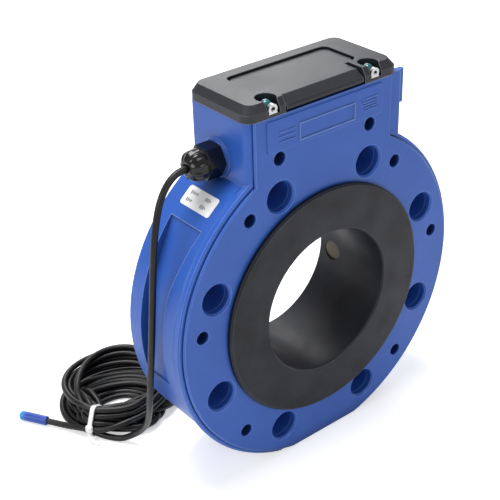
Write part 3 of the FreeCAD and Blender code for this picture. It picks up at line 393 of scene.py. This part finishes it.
# injected in a spark-eroded tool: a coarser grain, which makes the dark grey look soft; painted shade
# darkens its hollows and a painted highlight lightens its open edges
lid_grey = moulded("spark-grained dark grey ABS", "#2C2E34", "#26282D", rough=(0.34, 0.42), grain_mm=0.45,
                   grain=0.1, cloud_mm=50.0, edge_mm=0.7, specular=0.36, recess_mm=7.0, rim="#85878C")
# injected in a polished tool: near black, with small sharp highlights on each ridge
nylon = moulded("polished black nylon", "#0A0A0B", "#070708", rough=(0.12, 0.2), grain_mm=2.0, grain=0.02,
                cloud_mm=20.0, edge_mm=0.35, specular=0.45)
# injected without dye: a warm white with a quiet sheen
white_nylon = moulded("natural white nylon", "#F2F2EF", "#E6E6E2", rough=(0.28, 0.4), grain_mm=1.0,
                      grain=0.03)
# cast film with a printed face: an even, cooler white
label_film = moulded("white label film", "#F4F5F6", "#EEEFF0", rough=(0.3, 0.38), grain_mm=1.0, grain=0.02)
# printed ink: flatter than the film, so it stays grey at every angle
ink = moulded("grey label ink", "#6E6A68", "#5E5B5A", rough=(0.4, 0.5))
# injected in a polished tool, with a clear coat's second highlight for its wet shine
teal = moulded("clear teal seal plastic", "#0C6F75", "#084F58", rough=(0.1, 0.16), grain_mm=3.0, grain=0.0,
               coat=0.6)
# tube shrunk on with hot air: smooth, with the slight waves of what lies under it
shrink = moulded("blue heat-shrink sleeve", "#2450B4", "#1B3F9C", rough=(0.24, 0.34), grain_mm=1.5,
                 grain=0.06, edge_mm=0.8)
print("moulded finishes", len(bpy.data.materials), "materials so far")

# %% [markdown]
# The sleeve's last few millimetres have no cable in them, so they look lighter. A colour that changes
# along the sleeve needs its direction, and how far along that its end lies.

# %% Lighter tip of the sleeve
SLEEVE_WAY = (-0.51, 0.86, 0.0)       # which way the sleeve points, along the floor
TIP_LENGTH = 0.006
SLEEVE_TIP = max(SLEEVE_WAY[0] * v.co.x + SLEEVE_WAY[1] * v.co.y
                 for v in nodes["cable_end_sleeve"].data.vertices)

tree = shrink.node_tree
shader = next(node for node in tree.nodes if node.type == "BSDF_PRINCIPLED")
along = add(tree, "ShaderNodeVectorMath", {"operation": "DOT_PRODUCT", 1: SLEEVE_WAY},
            {0: add(tree, "ShaderNodeTexCoord").outputs["Object"]})
tip = add(tree, "ShaderNodeMapRange", {"From Min": SLEEVE_TIP - TIP_LENGTH, "From Max": SLEEVE_TIP},
          {"Value": along.outputs["Value"]})
mixed = add(tree, "ShaderNodeMix", {"data_type": "RGBA", 7: colour("#3FA4EC")},
            {0: tip.outputs["Result"], 6: shader.inputs["Base Color"].links[0].from_socket})
tree.links.new(mixed.outputs[2], shader.inputs["Base Color"])
print("sleeve ends", round(SLEEVE_TIP, 4), "m along its way")

# %% [markdown]
# Three finishes for inner pieces, and the window over the display. The window is clear polycarbonate, so
# nearly all light goes through it, and faint rubbed patches change its gloss.

# %% Inner pieces and the window
# turned and left to tarnish: brown and dull where liquid has run past
brass = moulded("dull electrode brass", "#6A5C38", "#50472C", rough=(0.34, 0.46), grain_mm=1.0, grain=0.05)
# poured over copper and cured: an even green with a wet gloss
lacquer = moulded("green circuit board lacquer", "#1F5A34", "#184A2B", rough=(0.2, 0.3), grain_mm=1.5)
# a film between two sheets of glass: smooth, so only its grey-green shows
liquid_crystal = moulded("liquid crystal display", "#7C8574", "#717A69", rough=(0.12, 0.2), grain_mm=4.0,
                         grain=0.0)

clear, tree, out = new_material("clear polycarbonate window")
haze = add(tree, "ShaderNodeTexNoise", {"Scale": 60.0, "Detail": 2.0},
           {"Vector": add(tree, "ShaderNodeTexCoord").outputs["Object"]})
rub = add(tree, "ShaderNodeMapRange", {"To Min": 0.02, "To Max": 0.09}, {"Value": haze.outputs["Fac"]})
shader = add(tree, "ShaderNodeBsdfPrincipled",
             {"Base Color": colour("#EFF3F2"), "IOR": 1.585, "Transmission Weight": 1.0},
             {"Roughness": rub.outputs["Result"]})
tree.links.new(shader.outputs["BSDF"], out.inputs["Surface"])
print("window finish", clear.name)

# %% [markdown]
# Metals need only a colour, metallic at one, and a roughness that varies with faint tool marks.

# %% Metals
def metal(name, base, rough, grain_mm=1.2, grain=0.05):
    """Bare metal with faint tool marks: metallic, with its default IOR."""
    material, tree, out = new_material(name)
    place = add(tree, "ShaderNodeTexCoord").outputs["Object"]
    marks = add(tree, "ShaderNodeTexNoise", {"Scale": 1000 / grain_mm, "Detail": 3.0}, {"Vector": place})
    spread = add(tree, "ShaderNodeMapRange", {"To Min": rough * 0.8, "To Max": rough * 1.3},
                 {"Value": marks.outputs["Fac"]})
    bump = add(tree, "ShaderNodeBump", {"Strength": grain, "Distance": 0.0001},
               {"Height": marks.outputs["Fac"]})
    shader = add(tree, "ShaderNodeBsdfPrincipled", {"Base Color": colour(base), "Metallic": 1.0},
                 {"Roughness": spread.outputs["Result"], "Normal": bump.outputs["Normal"]})
    tree.links.new(shader.outputs["BSDF"], out.inputs["Surface"])
    return material


# turned bright: small clean highlights on screws and pins
stainless = metal("turned stainless steel", "#C9CACB", 0.22)
# drawn and left bare: a darker metal with a broad sheen
steel = metal("grey steel", "#9A9B9E", 0.4)
# wound and dipped in enamel: a warm orange glow
copper = metal("enamelled copper wire", "#B5652E", 0.3)
print("metals", [finish.name for finish in (stainless, steel, copper)])

# %% [markdown]
# Now every piece of the CAD that stays gets its finish. Those that this lesson replaces are left out.

# %% Dress the CAD pieces
dress(blue_abs, "body_housing", "front_plate")
dress(rubber, "rubber_liner", "lid_gasket", "gland_seal")
dress(lid_grey, "lid_frame", "flip_cover")
dress(nylon, "gland_body", "gland_locknut", "battery_cradle")
dress(stainless, "front_plate_screws", "seal_eye_left", "seal_eye_right", "hinge_pin_left",
      "hinge_pin_right", "electrode_nut_left", "electrode_nut_right")
dress(teal, "seal_plug_left", "seal_plug_right")
dress(steel, "measuring_tube", "yoke_ring", "pole_core_top", "pole_core_bottom")
dress(copper, "field_coil_top", "field_coil_bottom")
dress(brass, "electrode_left", "electrode_right")
dress(white_nylon, "electrode_bush_left", "electrode_bush_right", "coil_bobbin_top",
      "coil_bobbin_bottom", "terminal_block", "battery_cell")
dress(shrink, "cable_end_sleeve")
dress(lacquer, "circuit_board")
dress(liquid_crystal, "display_panel")
dress(clear, "display_window")
print("the blue moulding is now", nodes["body_housing"].data.materials[0].name)

# %% [markdown]
# The next pieces are too fine for the CAD, or soft. Each starts as a bmesh, and one helper turns a
# finished bmesh into a piece: it shades it smooth, keeps edges sharp where they turn by more than 40
# degrees, gives it its material and lets it ride on the meter. The other adds a box with rounded edges.

# %% Helpers for new pieces
SHARP = math.radians(40)


def make_piece(name, shape, material, slot, *replaced):
    """Object from a bmesh, on the meter's body."""
    bmesh.ops.recalc_face_normals(shape, faces=shape.faces)
    for face in shape.faces:
        face.smooth = True
    mesh = bpy.data.meshes.new(name)
    shape.to_mesh(mesh)
    shape.free()
    mesh.set_sharp_from_angle(angle=SHARP)
    piece = bpy.data.objects.new(name, mesh)
    bpy.context.scene.collection.objects.link(piece)
    dress(material, piece)
    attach(piece, "meter")
    if replaced:
        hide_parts(*replaced)
    print(name, len(mesh.polygons), "faces")
    return piece


def bar(shape, centre, size, bevel):
    """Adds a box with rounded edges to a bmesh. All in millimetres."""
    made = bmesh.ops.create_cube(shape, size=1.0)["verts"]
    bmesh.ops.scale(shape, verts=made, vec=Vector(size) * MM)
    bmesh.ops.translate(shape, verts=made, vec=Vector(centre) * MM)
    edges = list({edge for vert in made for edge in vert.link_edges})
    bmesh.ops.bevel(shape, geom=edges, offset=bevel * MM, segments=2, profile=0.5, affect="EDGES",
                    material=-1)


# %% [markdown]
# The white tie is a nylon cable tie. Its band is pulled tight round the bundle, so it lies where a string
# round the strands would lie: each point of a circle looks for the strand that lies furthest its way, and
# moves to just off that strand's skin. The ring is then extruded to the band's width and given its
# thickness. The head is a small rounded block, and the loose end is a strip that bends down and along the
# floor.

# %% Cable tie
BAND_WIDTH, BAND_T = 3.1, 0.9
BAND_LIE = CABLE_R + 0.15     # from a strand's middle to the band round it
BAND_POINTS = 56
HEAD_OUT, HEAD_UP = BUNDLE_R + 10.4, 8.6
HEAD_SIZE, HEAD_ROUND = (3.0, 4.8, 4.6), 0.8
END_WIDTH, END_T, END_STEPS = 2.5, 0.8, 20
END_BEND = [(HEAD_OUT + 0.2, 0.4, 7.4), (HEAD_OUT + 3.2, 0.6, 4.2), (HEAD_OUT + 4.0, 2.8, 1.8),
            (HEAD_OUT + 3.6, 9.0, 1.9)]
# the way across the strip at the head, and at its free end
ACROSS_HEAD, ACROSS_END = Vector((0.52, -0.85, 0.0)), Vector((0.68, 0.0, -0.73))


def to_tie(shape, verts):
    """Turns and moves vertices from the tie's own directions (outwards, along, up) to their place."""
    bmesh.ops.rotate(shape, verts=verts, cent=(0, 0, 0), matrix=Matrix.Rotation(TIE_ANGLE, 3, "Z"))
    bmesh.ops.translate(shape, verts=verts, vec=(COIL_CENTRE[0] * MM, COIL_CENTRE[1] * MM, FLOOR * MM))


tie = bmesh.new()
ring = bmesh.ops.create_circle(tie, segments=BAND_POINTS, radius=1.0)["verts"]
for vert in ring:
    out_way, up_way = vert.co.x, vert.co.y
    u, w = max(PASSES, key=lambda strand: strand[0] * out_way + strand[1] * up_way)
    vert.co = Vector((BUNDLE_R + u + out_way * BAND_LIE, -BAND_WIDTH / 2, w + up_way * BAND_LIE)) * MM
rim = bmesh.ops.extrude_edge_only(tie, edges=tie.edges[:])["geom"]
far_rim = [part for part in rim if isinstance(part, bmesh.types.BMVert)]
bmesh.ops.translate(tie, verts=far_rim, vec=(0, BAND_WIDTH * MM, 0))
bmesh.ops.recalc_face_normals(tie, faces=tie.faces)
bmesh.ops.solidify(tie, geom=tie.faces[:], thickness=-BAND_T * MM)
bar(tie, (HEAD_OUT, 0, HEAD_UP), HEAD_SIZE, HEAD_ROUND)

strip = bmesh.ops.create_grid(tie, x_segments=END_STEPS, y_segments=1, size=0.5)["verts"]
bend = geometry.interpolate_bezier(*END_BEND, END_STEPS + 1)
for vert in strip:
    t = vert.co.x + 0.5
    across = ACROSS_HEAD.lerp(ACROSS_END, t).normalized()
    vert.co = (bend[round(t * END_STEPS)] + across * vert.co.y * END_WIDTH) * MM
flat = list({face for vert in strip for face in vert.link_faces})
bmesh.ops.solidify(tie, geom=flat, thickness=END_T * MM)
to_tie(tie, tie.verts[:])
tie_piece = make_piece("cable_tie_band", tie, white_nylon, "white_plastic", "cable_tie")

# %% [markdown]
# The gland's cap nut is a nylon dome with long flutes for the fingers. It is turned first: a profile from
# its foot over the dome into the mouth is spun round the cable's axis. Then each point between two ridges
# is drawn in, fully over the flank and fading to nothing towards the mouth, which leaves smooth ridges
# that catch light.

# %% Gland cap nut
GLAND_Y, GLAND_Z = 2.0, 105.5
CAP_FOOT, FLUTES = -69.65, 9
STEPS_A_FLUTE = 12
MOUTH_R, MOUTH_FADE = 3.4, 3  # the flutes end at this radius, and grow to full depth over this much more
FOOT_RIM, FOOT_FADE = 0.5, 1.5
FLUTE_DEPTH = 0.1             # share of the radius
# the profile: along the cable from the cap's foot, and radius
CAP = [(0.0, 5.5), (0.0, 9.0), (-0.4, 9.4), (-3.2, 9.4), (-5.4, 9.0), (-7.2, 7.9), (-8.6, 6.3), (-9.3, 4.7),
       (-9.45, 3.6), (-9.2, 2.75), (-8.0, 2.6), (-4.6, 5.0)]

cap = bmesh.new()
chain = [cap.verts.new(((CAP_FOOT + x) * MM, GLAND_Y * MM, (GLAND_Z + r) * MM)) for x, r in CAP]
edges = [cap.edges.new(pair) for pair in zip(chain, chain[1:])]
bmesh.ops.spin(cap, geom=chain + edges, cent=(CAP_FOOT * MM, GLAND_Y * MM, GLAND_Z * MM), axis=(1, 0, 0),
               angle=2 * math.pi, steps=FLUTES * STEPS_A_FLUTE, use_merge=True)
for vert in cap.verts:
    y, z = vert.co.y / MM - GLAND_Y, vert.co.z / MM - GLAND_Z
    along, radius = CAP_FOOT - vert.co.x / MM, math.hypot(y, z)
    if radius > MOUTH_R and along > FOOT_RIM:
        valley = 0.5 - 0.5 * math.cos(FLUTES * math.atan2(z, y))
        foot_part = min(1.0, (along - FOOT_RIM) / FOOT_FADE)
        mouth_part = min(1.0, (radius - MOUTH_R) / MOUTH_FADE)
        draw = 1 - FLUTE_DEPTH * valley * foot_part * mouth_part
        vert.co.y, vert.co.z = (GLAND_Y + y * draw) * MM, (GLAND_Z + z * draw) * MM
make_piece("gland_cap", cap, nylon, "black_gloss", "gland_cap_nut")

# %% [markdown]
# The label is printed film, with round corners, that follows the drum. It is a flat sheet first: one
# square face is scaled to the label's size, its corners are rounded, and cuts across it let it bend. Then
# every point is wrapped round the drum. Two rows of ticks stand where such a label has its wiring notes.
# They come in groups, and their number and heights are roughly those of the letters in such notes.

# %% Wiring label
DRUM_R = 110.0
LABEL_MIDDLE, LABEL_Y = 130.82, 0.3
LABEL_SIZE, LABEL_CORNER, LABEL_T = (27.0, 12.6, 1.0), 1.8, 0.25
LABEL_LIFT, TICK_LIFT = 0.08, 0.36
TICK_WIDTH, TICK_PITCH = 0.75, 1.35
# each group: its middle along the bore, its row across the label, and how tall its ticks are
TICKS = [(6.0, -2.6, (2.6, 1.6, 1.8, 1.5, 1.9)), (-6.4, -2.6, (2.3, 2.2, 2.4, 1.2)),
         (7.0, 2.4, (2.5, 2.2, 1.5, 1.7)), (-5.8, 2.4, (2.2, 2.4, 2.3, 0.8))]


def wrap(shape, verts, lift):
    """Bends flat vertices (along the bore, round the drum) onto the drum, in millimetres."""
    for vert in verts:
        turn = math.radians(LABEL_MIDDLE) + vert.co.y / DRUM_R
        radius = DRUM_R + lift
        vert.co = Vector((radius * math.cos(turn), LABEL_Y + vert.co.x, radius * math.sin(turn))) * MM


label = bmesh.new()
bmesh.ops.create_grid(label, x_segments=1, y_segments=1, size=0.5)
bmesh.ops.scale(label, verts=label.verts, vec=LABEL_SIZE)
bmesh.ops.bevel(label, geom=label.verts[:], offset=LABEL_CORNER, segments=5, profile=0.5, affect="VERTICES",
                material=-1)
for cut in range(-5, 6, 2):
    bmesh.ops.bisect_plane(label, geom=label.verts[:] + label.edges[:] + label.faces[:],
                           plane_co=(0, cut, 0), plane_no=(0, 1, 0))
wrap(label, label.verts, LABEL_LIFT)
bmesh.ops.recalc_face_normals(label, faces=label.faces)
bmesh.ops.solidify(label, geom=label.faces[:], thickness=-LABEL_T * MM)
make_piece("label_sheet", label, label_film, "label_white", "wiring_label")

ticks = bmesh.new()
for middle, row, heights in TICKS:
    for k, height in enumerate(heights):
        made = bmesh.ops.create_grid(ticks, x_segments=1, y_segments=1, size=0.5)["verts"]
        bmesh.ops.scale(ticks, verts=made, vec=(TICK_WIDTH, height, 1.0))
        bmesh.ops.translate(ticks, verts=made, vec=(middle + TICK_PITCH * (len(heights) / 2 - k), row, 0))
        wrap(ticks, made, TICK_LIFT)
make_piece("label_ticks", ticks, ink, "label_white")

# %% [markdown]
# The raised panel under the lid has two fields of low moulded lines, one on each side of its frame. They
# are plain bars with rounded edges here.

# %% Panel bars
PANEL_FACE = -28.0
BAR_DEPTH, BAR_HEIGHT, BAR_ROUND = 0.6, 0.8, 0.22
BAR_MIDDLE = 0.1              # how far the middle of a bar's depth stands off the panel
# each bar's left end, right end and height on the meter
LINES = [(-35.8, -24.1, 124.2), (-35.8, -24.1, 121.4), (-36.1, -23.9, 118.2), (26.2, 39.4, 125.3),
         (27.3, 39.1, 123.3), (28.1, 38.8, 121.5), (28.9, 38.8, 119.8), (29.5, 39.6, 118.2)]

bars = bmesh.new()
for start, stop, height in LINES:
    bar(bars, ((start + stop) / 2, PANEL_FACE - BAR_MIDDLE, height), (stop - start, BAR_DEPTH, BAR_HEIGHT),
        BAR_ROUND)
make_piece("panel_bars", bars, blue_abs, "blue_plastic")

# %% [markdown]
# The stage is a pale floor under one large soft light from above and three weaker ones from behind, from
# the left and from the front, as on a packshot table. The floor glows and the world is white only to the
# camera and through clear pieces. A glossy reflection gets three tenths of that extra white. Light that
# falls on the meter gets none of it, only the world's low level, so the floor still shows the meter's
# shadow. The glow grows with distance, which hides the horizon.

# %% Floor and world
MIRRORED = 0.3                # share of the extra white that a glossy reflection gets
GLOW_NEAR, GLOW_FAR = 0.5, 1.0
NEAR_M, FAR_M = 0.4, 1.3      # where the floor's glow starts to grow, and where it is full
WORLD_FILL = 0.26             # the world's level as a light on the meter
FLOOR_SINK = 0.00005          # keeps the floor off the foot's own face


def white_to_camera(tree):
    """1 for what the camera sees, less for a reflection, and 0 for light that falls on things."""
    path = add(tree, "ShaderNodeLightPath")
    mirrored = add(tree, "ShaderNodeMath", {"operation": "MULTIPLY", 1: MIRRORED},
                   {0: path.outputs["Is Glossy Ray"]})
    seen = add(tree, "ShaderNodeMath", {"operation": "MAXIMUM"},
               {0: path.outputs["Is Camera Ray"], 1: mirrored.outputs[0]})
    return add(tree, "ShaderNodeMath", {"operation": "MAXIMUM"},
               {0: seen.outputs[0], 1: path.outputs["Is Transmission Ray"]}).outputs[0]


mesh = bpy.data.meshes.new("floor")
sheet = bmesh.new()
bmesh.ops.create_grid(sheet, x_segments=1, y_segments=1, size=4.0)
bmesh.ops.translate(sheet, verts=sheet.verts, vec=(0, 0, FLOOR * MM - FLOOR_SINK))
sheet.to_mesh(mesh)
sheet.free()
floor = bpy.data.objects.new("floor", mesh)
bpy.context.scene.collection.objects.link(floor)

# a sheet of matt backdrop paper: it takes a soft shadow and has no highlight
paper, tree, out = new_material("pale floor")
matt = add(tree, "ShaderNodeBsdfDiffuse", {"Color": colour("#F1F1F1")})
lift = add(tree, "ShaderNodeEmission", {"Color": (1, 1, 1, 1)})
far_off = add(tree, "ShaderNodeVectorMath", {"operation": "LENGTH"},
              {0: add(tree, "ShaderNodeTexCoord").outputs["Object"]})
level = add(tree, "ShaderNodeMapRange",
            {"From Min": NEAR_M, "From Max": FAR_M, "To Min": GLOW_NEAR, "To Max": GLOW_FAR},
            {"Value": far_off.outputs["Value"]})
amount = add(tree, "ShaderNodeMath", {"operation": "MULTIPLY"},
             {0: white_to_camera(tree), 1: level.outputs["Result"]})
tree.links.new(amount.outputs[0], lift.inputs["Strength"])
both = add(tree, "ShaderNodeAddShader", links={0: matt.outputs[0], 1: lift.outputs[0]})
tree.links.new(both.outputs[0], out.inputs["Surface"])
floor.data.materials.append(paper)

world = bpy.data.worlds.new("studio")
world.use_nodes = True
bpy.context.scene.world = world
tree = world.node_tree
tree.nodes.clear()
out = add(tree, "ShaderNodeOutputWorld")
strength = add(tree, "ShaderNodeMapRange", {"To Min": WORLD_FILL, "To Max": 1.0},
               {"Value": white_to_camera(tree)})
sky = add(tree, "ShaderNodeBackground", {"Color": (1, 1, 1, 1)}, {"Strength": strength.outputs["Result"]})
tree.links.new(sky.outputs[0], out.inputs["Surface"])
print("floor at", round(FLOOR * MM - FLOOR_SINK, 5), "m, world", WORLD_FILL)

# %% [markdown]
# Four square lights, each turned to face the meter. The view transform is Standard, so a white stays
# white.

# %% Lights
# each light: its place and the point it faces in metres, its side in metres, and its power in watts
SOFTBOXES = {
    "top_softbox": ((-0.1, 0.3, 1.5), (0, 0, 0), 0.8, 22.0),
    "back_softbox": ((0.9, 1.6, 1.0), (0, 0, 0.1), 1.0, 11.0),
    "left_softbox": ((-1.5, -0.1, 0.85), (0, 0, 0), 0.8, 9.0),
    "front_softbox": ((0.2, -1.8, 0.8), (0, 0, 0), 0.9, 8.0),
}

for name, (place, aim, size, power) in SOFTBOXES.items():
    lamp = bpy.data.lights.new(name, "AREA")
    lamp.shape = "SQUARE"
    lamp.size = size
    lamp.energy = power
    light = bpy.data.objects.new(name, lamp)
    light.location = place
    light.rotation_euler = (Vector(aim) - Vector(place)).to_track_quat("-Z", "Y").to_euler()
    bpy.context.scene.collection.objects.link(light)
    print(name, power, "W")

bpy.context.scene.view_settings.view_transform = "Standard"
